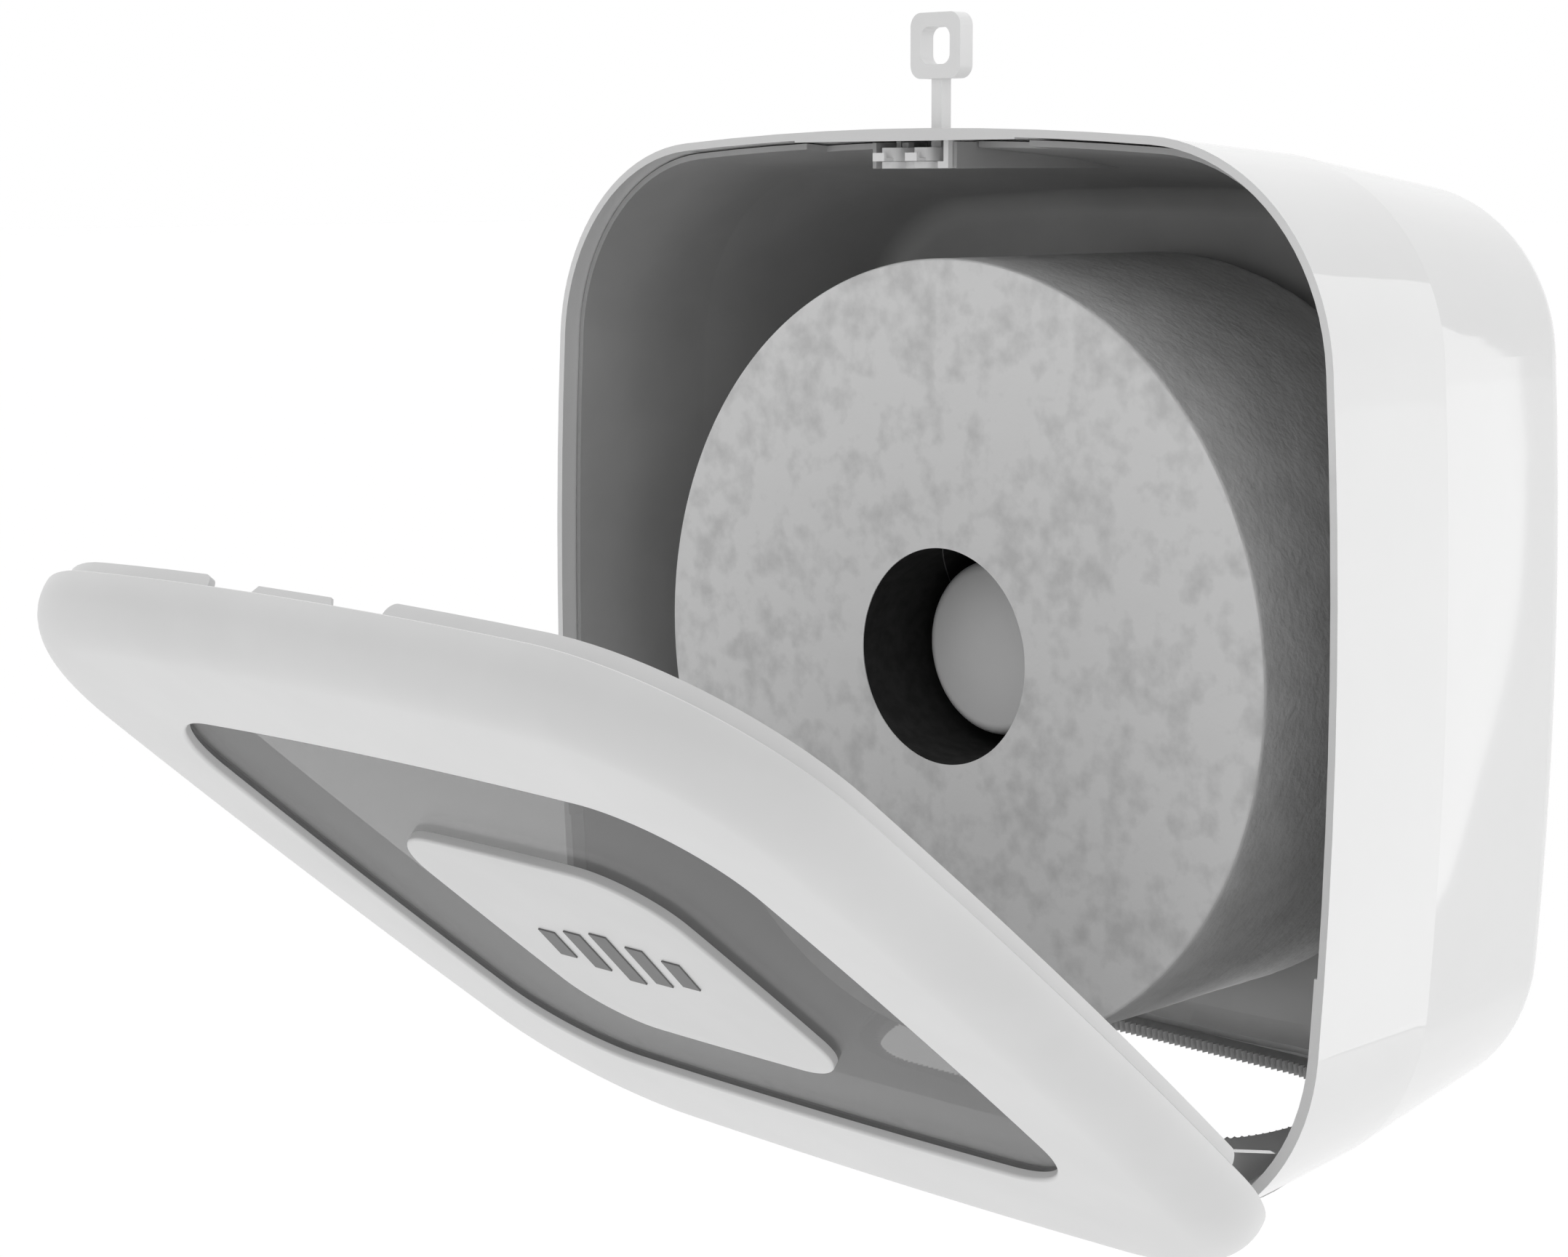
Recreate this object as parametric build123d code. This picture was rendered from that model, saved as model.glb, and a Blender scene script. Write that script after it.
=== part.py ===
from build123d import *
import math
import os

# Wall dispenser for jumbo tissue rolls. Millimetres, +Z up, +Y into the wall, -Y towards the user.
# The origin is the middle of the flat back that lies on the wall.
# The cover is drawn shut and is then swung open about its hinge, which is how it is exported.

# ---- housing
WIDTH = 270.0            # across the front rim
HEIGHT = 270.0
DEPTH = 120.0            # wall to front rim
CORNER_R = 57.0          # corner of the front rim
BOW_R = 1100.0           # the four sides are slightly bowed arcs
WALL = 2.0
BACK_WALL = 3.0
CREASE_DEPTH = 50.0      # rim to the line where the draft of the sides grows
CREASE_INSET = 3.5
BACK_INSET = 12.6
BACK_EDGE_R = 12.0
SCREW_PITCH_X = 150.0    # wall screws, for 5 mm screws
SCREW_PITCH_Z = 130.0
SCREW_HOLE_R = 2.75
SCREW_HEAD_R = 6.5

# ---- liner
LINER_GAP = 0.3
LINER_WALL = 1.5
LINER_BOX_WALL = 1.2     # box moulded under the liner's top that takes the lock
LINER_BOX_GAP = 0.2
LINER_BOX_LENGTH = 78.0  # it meets the sloping top before this
LINER_START = 5.0        # rim to the liner's front edge, room for the cover's lip
RIM_BAND_WALL = 2.8      # thicker edge along the lower part of the rim
RIM_BAND_TOP = -60.0

# ---- paper roll and hub
ROLL_R = 103.3
ROLL_WIDTH = 90.0
ROLL_Z = -1.0            # roll axis, nearly in the middle of the rim
ROLL_RECESS = 15.9       # rim to the roll's front
CORE_BORE_R = 28.3
CORE_WALL = 1.5
HUB_CLEARANCE = 0.08     # radial, core on hub
HUB_NOSE_R = 23.5
HUB_NOSE_START = 36.0    # rim to the face of the nose
HUB_SEAT_START = 52.0    # rim to the step up to the full hub size
HUB_WALL = 2.5
FLANGE_R = 44.0
FLANGE_T = 3.0
FLANGE_GAP = 1.0         # roll to flange
HUB_SCREW_PCD = 34.0
HUB_SCREW_R = 1.6
HUB_SCREW_TIP = -0.6     # the pilot holes stop this far short of the wall
HUB_SCREW_HEAD_R = 3.0
HUB_SCREW_HEAD_T = 2.2
HUB_FOOT_T = 3.0
HUB_BOSS_REACH = 12.0    # flange to the front of the boss that carries the sleeve
HUB_PLUG_R = 17.5        # plug on the nose, pressed into the sleeve's front

# ---- paper outlet
OUTLET_LENGTH = 150.0
OUTLET_WIDTH = 58.0
OUTLET_CENTRE = 81.0     # rim to the middle of the outlet
OUTLET_FRAME = 4.0       # width of the ring's flat
OUTLET_T = 3.4
OUTLET_GAP = 0.1         # ring to shell and liner
TOOTH_PITCH = 2.0
TOOTH_DEPTH = 1.6

# ---- cover
COVER_GAP = 0.3          # cover to rim when shut
COVER_T = 14.1
COVER_EDGE_R = 13.0
COVER_SKIN = 2.5
COVER_INNER_R = 9.0
OPENING_HALF_W = 97.0
OPENING_HALF_H = 89.0
OPENING_R = 31.5
OPENING_RISE = 2.6       # window centre above the middle of the cover
PANE_T = 2.0
PANE_LAND = 6.0          # how far the pane reaches under the frame
PLATE_HALF_W = 46.2
PLATE_HALF_H = 48.0
PLATE_R = 21.0
MARK_T = 0.4
RETAINER_T = 2.0
LIP_INSET = 3.5
LIP_WALL = 1.8
LIP_DEPTH = 4.5
LIP_BOTTOM = -78.0       # the lip ends here on both sides
LIP_GAP_HALF = 31.5      # break in the lip at the lock
LIP_END_R = 3.0
RING_GAP = 0.1           # inner ring to the frame's walls
TAB_HALF_BASE = 15.5
TAB_HALF_TIP = 13.0
TAB_DEPTH = 3.3
OPEN_ANGLE = 50.57

# ---- hinge
HINGE_BACK = 8.3         # rim to the hinge axis
HINGE_Z = -118.5
HINGE_EYE_R = 5.0
PIN_R = 2.5
PIN_CLEARANCE = 0.05
PIN_HEAD_R = 4.0
PIN_HEAD_T = 2.2
ARM_X = 83.0             # inner face of the hinge arm
ARM_T = 4.0
ARM_GAP = 0.4            # arm to housing ear
EAR_T = 4.0
NOTCH_DEPTH = 17.5       # the floor starts this far behind the rim, where the cover's heel swings
NOTCH_TOP = -118.0
ARM_FOOT_T = 2.5
ARM_SCREW_R = 1.3
ARM_SCREW_HEAD_R = 2.0
ARM_SCREW_HEAD_T = 1.2
ARM_SCREW_OUT = 2.2      # arm's side to the screw
ARM_SCREW_UP = 10.5      # hinge axis to the screws
ARM_BOSS_R = 3.0         # bosses in the cover's ring that take the screws
ARM_BOSS_DEPTH = 7.0

# ---- lock
LOCK_SEAT_Z = 131.9      # flat seat under the top wall
LOCK_PAD_HALF = 37.7
LOCK_PAD_LENGTH = 12.0
LOCK_HALF = 14.0
LOCK_FRONT = 3.4         # rim to the bracket's front
LOCK_LENGTH = 20.6
LOCK_PLATE_T = 1.7
LOCK_LEG_T = 1.6
LOCK_INNER_H = 5.1       # bottom plate to seat
TONGUE_X = (-8.4, 2.8)
TONGUE_HALF = 2.9
TONGUE_H = 3.4
TONGUE_LENGTH = 9.5
LATCH_LIFT = 1.2         # key out: the springs lift the teeth behind the tab's hook
LATCH_FLOAT = 0.1
POST_SIDE = 2.2
SPRING_R = 1.3
SPRING_WIRE_R = 0.25
SPRING_TURNS = 3
POCKET_R = 1.9
POCKET_DEPTH = 2.5
POST_BACK = 5.5          # middle of the tongue's round nose to the post
TOE_FRONT = 0.7          # rim to the catch tooth
TOE_HALF = 2.0
TOE_T = 0.8
TOOTH_BAR = 0.9          # thickness of the catch tooth
TOOTH_TOP = 2.1          # underside of the latch to the top of the tooth
TAB_TOP_GAP = 0.4        # seat to the tab's roof
TAB_ROOF_T = 0.8
TAB_HOOK_T = 0.9
TAB_HOOK_H = 2.2
TAB_HOOK_HALF = 11.0
KEY_BACK = 15.0          # rim to the key
KEY_STEM = 3.5
KEY_HOLE_GAP = 0.35
KEY_STEM_TOP = 147.6
KEY_HEAD_W = 17.0
KEY_HEAD_H = 16.5
KEY_HEAD_T = 4.7
KEY_HEAD_R = 3.5
KEY_HOLE_W = 9.9
KEY_HOLE_H = 9.4

os.makedirs("parts", exist_ok=True)

RIM = -DEPTH             # y of the front rim
TOP = HEIGHT / 2.0
HINGE_Y = RIM + HINGE_BACK
ARM_SCREW_Z = HINGE_Z + ARM_SCREW_UP
ARM_SCREW_X = (ARM_X - ARM_SCREW_OUT, ARM_X + ARM_T + ARM_SCREW_OUT)
PLATE_TOP = LOCK_SEAT_Z - LOCK_INNER_H
LOCK_BACK = RIM + LOCK_FRONT + LOCK_LENGTH
TONGUE_Y = RIM + LOCK_FRONT + TONGUE_HALF
POST_Y = TONGUE_Y + POST_BACK
LATCH_Z = PLATE_TOP + LATCH_FLOAT
LEG_X = LOCK_HALF - 1.0


def rounded_square(half_w, half_h, corner_r, bow_r, rise=0.0):
    """Four slightly bowed sides joined by four tangent corner arcs."""
    reach = bow_r - corner_r
    cx = half_w - corner_r
    cz = half_h - corner_r
    for _ in range(40):
        cx = half_w - bow_r + math.sqrt(reach ** 2 - cz ** 2)
        cz = half_h - bow_r + math.sqrt(reach ** 2 - cx ** 2)
    side = (cx - half_w + bow_r, cz)
    head = (cx, cz - half_h + bow_r)
    tx = half_w - bow_r + bow_r * side[0] / reach
    tz = bow_r * side[1] / reach
    hx = bow_r * head[0] / reach
    hz = half_h - bow_r + bow_r * head[1] / reach
    mx = side[0] / reach + head[0] / reach
    mz = side[1] / reach + head[1] / reach
    length = math.hypot(mx, mz)
    px = cx + corner_r * mx / length
    pz = cz + corner_r * mz / length
    arcs = [
        ThreePointArc((tx, -tz), (half_w, 0), (tx, tz)),
        ThreePointArc((tx, tz), (px, pz), (hx, hz)),
        ThreePointArc((hx, hz), (0, half_h), (-hx, hz)),
        ThreePointArc((-hx, hz), (-px, pz), (-tx, tz)),
        ThreePointArc((-tx, tz), (-half_w, 0), (-tx, -tz)),
        ThreePointArc((-tx, -tz), (-px, -pz), (-hx, -hz)),
        ThreePointArc((-hx, -hz), (0, -half_h), (hx, -hz)),
        ThreePointArc((hx, -hz), (px, -pz), (tx, -tz)),
    ]
    return Pos(0, rise) * make_face(Curve() + arcs)


def upright(y):
    """Plane across the object at depth y, seen from the front."""
    return Plane(origin=(0, y, 0), x_dir=(1, 0, 0), z_dir=(0, -1, 0))


def outline(inset):
    """The front rim's outline drawn in by inset, in x and z."""
    return rounded_square(WIDTH / 2 - inset, HEIGHT / 2 - inset, CORNER_R - inset, BOW_R - inset)


def rim_face(inset, y):
    """The rim's outline, drawn in by inset, at depth y."""
    return upright(y) * outline(inset)


def side_inset(back):
    """How far the sides have drawn in at a distance behind the rim."""
    if back <= CREASE_DEPTH:
        return CREASE_INSET * back / CREASE_DEPTH
    share = (back - CREASE_DEPTH) / (DEPTH - CREASE_DEPTH)
    return CREASE_INSET + (BACK_INSET - CREASE_INSET) * share


def drafted(extra, start, end, edge_r):
    """Solid between two depths behind the rim that follows the drafted sides."""
    stops = [start, CREASE_DEPTH, end]
    faces = [rim_face(side_inset(b) + extra, RIM + b) for b in stops]
    body = loft(faces[:2], ruled=True) + loft(faces[1:], ruled=True)
    back = body.faces().sort_by(Axis.Y)[-1]
    return fillet(back.edges(), edge_r)


def block(x0, x1, y0, y1, z0, z1):
    size = (x1 - x0, y1 - y0, z1 - z0)
    middle = ((x0 + x1) / 2, (y0 + y1) / 2, (z0 + z1) / 2)
    return Pos(*middle) * Box(*size)


def rod_x(x0, x1, y, z, r):
    return Pos((x0 + x1) / 2, y, z) * Rot(0, 90, 0) * Cylinder(r, x1 - x0)


def rod_y(y0, y1, x, z, r):
    return Pos(x, (y0 + y1) / 2, z) * Rot(90, 0, 0) * Cylinder(r, y1 - y0)


def rod_z(z0, z1, x, y, r):
    return Pos(x, y, (z0 + z1) / 2) * Cylinder(r, z1 - z0)


def prism_y(face, y0, y1):
    """A face drawn in x and z, made solid from y0 to y1."""
    return extrude(upright(y1) * face, y1 - y0)


# ---- housing
def floor_z(back, extra):
    return -(HEIGHT / 2 - side_inset(back) - extra)


OUTLET_TILT = math.degrees(math.atan((BACK_INSET - CREASE_INSET) / (DEPTH - CREASE_DEPTH)))
OUTLET_Z = floor_z(OUTLET_CENTRE, 0) + 0.4


def outlet_plane():
    """Underside of the outlet ring, which lies along the drafted floor."""
    level = Plane(origin=(0, RIM + OUTLET_CENTRE, OUTLET_Z), x_dir=(1, 0, 0), z_dir=(0, 0, 1))
    return level.rotated((OUTLET_TILT, 0, 0))


def outlet_prism(grow, low, high):
    length = OUTLET_LENGTH + 2 * grow
    width = OUTLET_WIDTH + 2 * grow
    face = SlotOverall(length, width)
    return extrude(outlet_plane().offset(low) * face, high - low)


def hinge_ear(side):
    """Moulded ear that carries one hinge pin, joined to the floor behind the heel's path."""
    x0 = ARM_X + ARM_T + ARM_GAP
    low = HINGE_Z - HINGE_EYE_R
    high = HINGE_Z + HINGE_EYE_R
    start = RIM + NOTCH_DEPTH
    foot = floor_z(NOTCH_DEPTH, WALL / 2)
    path = [
        (HINGE_Y, low),
        (start, low),
        (start + 5, foot),
        (start + 28, foot),
        (start + 28, low + 2),
        (HINGE_Y + 6, high),
        (HINGE_Y, high),
    ]
    face = make_face(Polyline(*path, close=True))
    plate = extrude(Plane(origin=(x0, 0, 0), x_dir=(0, 1, 0), z_dir=(1, 0, 0)) * face, EAR_T)
    plate += rod_x(x0, x0 + EAR_T, HINGE_Y, HINGE_Z, HINGE_EYE_R)
    plate -= rod_x(x0 - 1, x0 + EAR_T + 1, HINGE_Y, HINGE_Z, PIN_R)
    return plate if side > 0 else mirror(plate, about=Plane.YZ)


def screw_places():
    for sx in (-1, 1):
        for sz in (-1, 1):
            yield sx * SCREW_PITCH_X / 2, sz * SCREW_PITCH_Z / 2


def rim_band():
    back = RIM + LINER_START - LINER_GAP
    band = prism_y(outline(WALL / 2), RIM, back)
    band -= prism_y(outline(RIM_BAND_WALL), RIM - 1, back + 1)
    return band & block(-WIDTH, WIDTH, RIM - 1, back + 1, -HEIGHT, RIM_BAND_TOP)


def make_housing():
    outer = drafted(0, 0, DEPTH, BACK_EDGE_R)
    inner = drafted(WALL, 0, DEPTH - BACK_WALL, BACK_EDGE_R - WALL)
    body = outer - inner
    body += rim_band()
    pad_top = TOP - WALL / 2
    body += block(-LOCK_PAD_HALF, LOCK_PAD_HALF, RIM, RIM + LOCK_PAD_LENGTH, LOCK_SEAT_Z, pad_top) & outer
    body -= block(-LOCK_HALF, LOCK_HALF, RIM - 1, RIM + LOCK_FRONT + LOCK_LENGTH + 2, 120, LOCK_SEAT_Z)
    body -= block(-WIDTH, WIDTH, RIM - 1, RIM + NOTCH_DEPTH, -HEIGHT, NOTCH_TOP)
    for side in (-1, 1):
        body += hinge_ear(side) & outer
    body -= outlet_prism(OUTLET_FRAME + OUTLET_GAP, -10, 20)
    for x, z in screw_places():
        body -= rod_y(-BACK_WALL - 1, 1, x, z, SCREW_HOLE_R)
    for x, z in hub_screw_places():
        body -= rod_y(-BACK_WALL - 1, HUB_SCREW_TIP, x, z, HUB_SCREW_R)
    hole = KEY_STEM / 2 + KEY_HOLE_GAP
    key_y = RIM + KEY_BACK
    body -= block(-hole, hole, key_y - hole, key_y + hole, 120, TOP + 5)
    for x in TONGUE_X:
        reach = POST_SIDE / 2 + 0.4
        top = LOCK_SEAT_Z + LATCH_LIFT
        body -= block(x - reach, x + reach, POST_Y - reach, POST_Y + reach, 125, top)
    return body


# ---- liner
def lock_box():
    """Box round the lock whose level floor runs back until it meets the sloping top."""
    half = LEG_X + LINER_BOX_GAP
    low = PLATE_TOP - LOCK_PLATE_T
    start = RIM + LINER_START
    wide = half + LINER_BOX_WALL
    box = block(-wide, wide, start, RIM + LINER_BOX_LENGTH, low, TOP)
    box -= block(-half, half, start - 1, LOCK_BACK + LINER_BOX_GAP, low - 1, TOP + 1)
    box -= block(-half, half, LOCK_BACK, 0, low + LINER_BOX_WALL, TOP + 1)
    pad = LOCK_SEAT_Z - LINER_GAP
    return box - block(-wide - 1, wide + 1, RIM, RIM + LOCK_PAD_LENGTH + 0.5, pad, TOP + 1)


def make_liner():
    start = LINER_START
    outer = drafted(WALL + LINER_GAP, start, DEPTH - BACK_WALL, BACK_EDGE_R - WALL - LINER_GAP)
    back = DEPTH - BACK_WALL - LINER_WALL
    inner = drafted(WALL + LINER_GAP + LINER_WALL, start, back, BACK_EDGE_R - WALL - LINER_GAP - LINER_WALL)
    body = outer - inner
    body -= block(-LOCK_HALF - 1, LOCK_HALF + 1, RIM, LOCK_BACK + 3, 110, TOP)
    body -= block(-LOCK_PAD_HALF - 0.5, LOCK_PAD_HALF + 0.5, RIM, RIM + LOCK_PAD_LENGTH + 0.5, 110, TOP)
    body += lock_box() & outer
    body -= block(-WIDTH, WIDTH, RIM - 1, RIM + NOTCH_DEPTH + 1, -HEIGHT, NOTCH_TOP + 1)
    for side in (-1, 1):
        x0 = side * (ARM_X - PIN_HEAD_T - 3)
        x1 = side * (ARM_X + ARM_T + ARM_GAP + EAR_T + 3)
        zone = (RIM, RIM + NOTCH_DEPTH + 31, -HEIGHT, HINGE_Z + 14)
        body -= block(min(x0, x1), max(x0, x1), *zone)
    body -= outlet_prism(OUTLET_FRAME + OUTLET_GAP, -10, 20)
    for x, z in screw_places():
        body -= rod_y(-BACK_WALL - 5, 1, x, z, SCREW_HEAD_R)
    for x, z in hub_screw_places():
        body -= rod_y(-BACK_WALL - 5, 1, x, z, HUB_SCREW_R)
    return body


def make_outlet_ring():
    """Ring in the floor whose inner edge is a saw all the way round."""
    half = OUTLET_LENGTH / 2 - OUTLET_WIDTH / 2
    r = OUTLET_WIDTH / 2
    straight = 2 * half
    around = 2 * straight + 2 * math.pi * r
    count = 2 * round(around / TOOTH_PITCH / 2)

    def place(s, inward):
        s = s % around
        rr = r - inward
        if s < straight:
            return (-half + s, rr)
        s -= straight
        if s < math.pi * r:
            a = math.pi / 2 - s / r
            return (half + rr * math.cos(a), rr * math.sin(a))
        s -= math.pi * r
        if s < straight:
            return (half - s, -rr)
        s -= straight
        a = -math.pi / 2 - s / r
        return (-half + rr * math.cos(a), rr * math.sin(a))

    points = []
    for i in range(count):
        points.append(place(i * around / count, 0))
        points.append(place((i + 0.5) * around / count, TOOTH_DEPTH))
    saw = make_face(Polyline(*points, close=True))
    slot = extrude(outlet_plane().offset(-1) * saw, OUTLET_T + 2)
    return outlet_prism(OUTLET_FRAME, 0, OUTLET_T) - slot


# ---- hub and roll
ROLL_FRONT = RIM + ROLL_RECESS
ROLL_BACK = ROLL_FRONT + ROLL_WIDTH
FLANGE_Y = ROLL_BACK + FLANGE_GAP
LINER_FACE = -BACK_WALL - LINER_WALL
HUB_R = CORE_BORE_R - HUB_CLEARANCE


def hub_screw_places():
    for i in range(3):
        a = math.radians(90 + 120 * i)
        yield HUB_SCREW_PCD / 2 * math.cos(a), ROLL_Z + HUB_SCREW_PCD / 2 * math.sin(a)


def make_hub_base():
    """Flange and foot screwed to the back, with a boss that carries the sleeve."""
    body = rod_y(FLANGE_Y, FLANGE_Y + FLANGE_T, 0, ROLL_Z, FLANGE_R)
    body += rod_y(FLANGE_Y + FLANGE_T, LINER_FACE, 0, ROLL_Z, HUB_R - HUB_WALL)
    body += rod_y(FLANGE_Y - HUB_BOSS_REACH, FLANGE_Y, 0, ROLL_Z, HUB_R - HUB_WALL)
    body -= rod_y(FLANGE_Y - HUB_BOSS_REACH - 1, LINER_FACE - HUB_FOOT_T, 0, ROLL_Z, HUB_R - 2 * HUB_WALL)
    for x, z in hub_screw_places():
        body -= rod_y(LINER_FACE - 4, LINER_FACE + 1, x, z, HUB_SCREW_R)
    return body


def make_hub_sleeve():
    seat = RIM + HUB_SEAT_START
    body = rod_y(seat, FLANGE_Y, 0, ROLL_Z, HUB_R)
    body = chamfer(body.faces().sort_by(Axis.Y)[0].edges(), 1.5)
    body -= rod_y(seat + HUB_WALL, FLANGE_Y + 1, 0, ROLL_Z, HUB_R - HUB_WALL)
    body -= rod_y(seat - 1, seat + HUB_WALL + 1, 0, ROLL_Z, HUB_PLUG_R)
    return body


def make_hub_nose():
    front = RIM + HUB_NOSE_START
    seat = RIM + HUB_SEAT_START
    body = rod_y(front, seat, 0, ROLL_Z, HUB_NOSE_R)
    body = fillet(body.faces().sort_by(Axis.Y)[0].edges(), 3.0)
    hollow = rod_y(front + HUB_WALL, seat + 1, 0, ROLL_Z, HUB_NOSE_R - HUB_WALL)
    body -= hollow
    plug = rod_y(front + HUB_WALL, seat + HUB_WALL, 0, ROLL_Z, HUB_PLUG_R)
    plug -= rod_y(front + HUB_WALL, seat + HUB_WALL + 1, 0, ROLL_Z, HUB_PLUG_R - 2)
    return body + plug


def make_hub_screws():
    """Three self-tapping screws through the hub's foot and the liner into the back."""
    screws = []
    for x, z in hub_screw_places():
        seat = LINER_FACE - HUB_FOOT_T
        head = rod_y(seat - HUB_SCREW_HEAD_T, seat, x, z, HUB_SCREW_HEAD_R)
        screws.append(head + rod_y(seat, HUB_SCREW_TIP, x, z, HUB_SCREW_R))
    return screws


def make_roll():
    body = rod_y(ROLL_FRONT, ROLL_BACK, 0, ROLL_Z, ROLL_R)
    return body - rod_y(ROLL_FRONT - 1, ROLL_BACK + 1, 0, ROLL_Z, CORE_BORE_R + CORE_WALL)


def make_core():
    body = rod_y(ROLL_FRONT, ROLL_BACK, 0, ROLL_Z, CORE_BORE_R + CORE_WALL)
    return body - rod_y(ROLL_FRONT - 1, ROLL_BACK + 1, 0, ROLL_Z, CORE_BORE_R)


# ---- cover, drawn shut
COVER_BACK = RIM - COVER_GAP
COVER_FRONT = COVER_BACK - COVER_T
PANE_FRONT = COVER_FRONT + COVER_SKIN
PANE_BACK = PANE_FRONT + PANE_T


def opening(grow):
    return rounded_square(
        OPENING_HALF_W + grow,
        OPENING_HALF_H + grow,
        OPENING_R + grow,
        BOW_R + grow,
        OPENING_RISE,
    )


def cover_blank(inset, front, back, edge_r):
    body = prism_y(outline(inset), front, back)
    return fillet(body.faces().sort_by(Axis.Y)[0].edges(), edge_r)


def make_cover_frame():
    body = cover_blank(0, COVER_FRONT, COVER_BACK, COVER_EDGE_R)
    body -= cover_blank(COVER_SKIN, PANE_FRONT, COVER_BACK + 1, COVER_INNER_R)
    return body - prism_y(opening(0), COVER_FRONT - 1, COVER_BACK + 1)


def make_pane():
    return prism_y(opening(PANE_LAND), PANE_FRONT, PANE_BACK)


def make_plate():
    face = rounded_square(PLATE_HALF_W, PLATE_HALF_H, PLATE_R, BOW_R)
    body = prism_y(face, COVER_FRONT, PANE_FRONT)
    return fillet(body.faces().sort_by(Axis.Y)[0].edges(), 0.8)


def make_mark():
    """Plain ornament: five leaning bars."""
    bars = []
    for i, tall in enumerate((14, 20, 26, 20, 14)):
        x = (i - 2) * 11.0
        lean = 0.3 * tall
        corners = [(x - 3 - lean / 2, -tall / 2), (x + 3 - lean / 2, -tall / 2)]
        corners += [(x + 3 + lean / 2, tall / 2), (x - 3 + lean / 2, tall / 2)]
        face = make_face(Polyline(*corners, close=True))
        bars.append(prism_y(face, COVER_FRONT - MARK_T, COVER_FRONT))
    return bars


def make_retainer():
    """Inner ring that clamps the pane and carries the lip, the lock's tab and the arms' bosses."""
    body = prism_y(outline(COVER_SKIN + RING_GAP), COVER_BACK - RETAINER_T, COVER_BACK)
    body += prism_y(opening(PANE_LAND / 2), PANE_BACK, COVER_BACK)
    body -= prism_y(opening(1), PANE_BACK - 1, COVER_BACK + 1)
    lip = prism_y(outline(LIP_INSET), COVER_BACK, COVER_BACK + LIP_DEPTH)
    lip -= prism_y(outline(LIP_INSET + LIP_WALL), COVER_BACK - 1, COVER_BACK + LIP_DEPTH + 1)
    lip -= block(-WIDTH, WIDTH, RIM - 5, RIM + 10, -HEIGHT, LIP_BOTTOM)
    lip -= block(-LIP_GAP_HALF, LIP_GAP_HALF, RIM - 5, RIM + 10, 0, HEIGHT)
    far = COVER_BACK + LIP_DEPTH
    r = LIP_END_R
    corner = block(-WIDTH, WIDTH, far - r, far + 1, LIP_BOTTOM - 1, LIP_BOTTOM + r)
    lip -= corner - rod_x(-WIDTH, WIDTH, far - r, LIP_BOTTOM + r, r)
    for side in (-1, 1):
        near, end = sorted((side * (LIP_GAP_HALF - 1), side * (LIP_GAP_HALF + r)))
        corner = block(near, end, far - r, far + 1, 0, HEIGHT)
        lip -= corner - rod_z(-1, HEIGHT + 1, side * (LIP_GAP_HALF + r), far - r, r)
    body += lip
    base = COVER_BACK
    tip = COVER_BACK + TAB_DEPTH
    corners = [(-TAB_HALF_BASE, base), (TAB_HALF_BASE, base), (TAB_HALF_TIP, tip), (-TAB_HALF_TIP, tip)]
    roof_top = LOCK_SEAT_Z - TAB_TOP_GAP
    roof = make_face(Polyline(*corners, close=True))
    body += extrude(Plane(origin=(0, 0, roof_top - TAB_ROOF_T)) * roof, TAB_ROOF_T)
    body += block(-TAB_HOOK_HALF, TAB_HOOK_HALF, tip - TAB_HOOK_T, tip, roof_top - TAB_HOOK_H, roof_top)
    for side in (-1, 1):
        for x in ARM_SCREW_X:
            body += rod_y(COVER_BACK - ARM_BOSS_DEPTH, COVER_BACK, side * x, ARM_SCREW_Z, ARM_BOSS_R)
            deep = COVER_BACK - ARM_BOSS_DEPTH + 1
            body -= rod_y(deep, COVER_BACK + 1, side * x, ARM_SCREW_Z, ARM_SCREW_R)
    return body


def make_hinge_arm(side):
    """Arm with a foot that is screwed to the cover's ring."""
    x0 = ARM_X
    low = HINGE_Z - HINGE_EYE_R
    high = HINGE_Z + HINGE_EYE_R
    reach = ARM_SCREW_OUT + ARM_BOSS_R
    foot = block(x0 - reach, x0 + ARM_T + reach, COVER_BACK, COVER_BACK + ARM_FOOT_T, low - 1, high + 9)
    arm = block(x0, x0 + ARM_T, COVER_BACK, HINGE_Y, low, high)
    arm += rod_x(x0, x0 + ARM_T, HINGE_Y, HINGE_Z, HINGE_EYE_R)
    arm -= rod_x(x0 - 1, x0 + ARM_T + 1, HINGE_Y, HINGE_Z, PIN_R + PIN_CLEARANCE)
    body = foot + arm
    for x in ARM_SCREW_X:
        body -= rod_y(COVER_BACK - 1, COVER_BACK + ARM_FOOT_T + 1, x, ARM_SCREW_Z, ARM_SCREW_R)
    return body if side > 0 else mirror(body, about=Plane.YZ)


def make_arm_screws():
    seat = COVER_BACK + ARM_FOOT_T
    tip = COVER_BACK - ARM_BOSS_DEPTH + 1
    screws = []
    for side in (-1, 1):
        for x in ARM_SCREW_X:
            head = rod_y(seat, seat + ARM_SCREW_HEAD_T, side * x, ARM_SCREW_Z, ARM_SCREW_HEAD_R)
            screws.append(head + rod_y(tip, seat, side * x, ARM_SCREW_Z, ARM_SCREW_R))
    return screws


def swing_open(shape):
    """Turns a cover piece from shut to open about the hinge axis."""
    return Pos(0, HINGE_Y, HINGE_Z) * Rot(OPEN_ANGLE, 0, 0) * Pos(0, -HINGE_Y, -HINGE_Z) * shape


def make_hinge_pin(side):
    x0 = ARM_X - 0.3
    x1 = ARM_X + ARM_T + ARM_GAP + EAR_T
    body = rod_x(x0, x1, HINGE_Y, HINGE_Z, PIN_R)
    body += rod_x(x0 - PIN_HEAD_T, x0, HINGE_Y, HINGE_Z, PIN_HEAD_R)
    return body if side > 0 else mirror(body, about=Plane.YZ)


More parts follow.
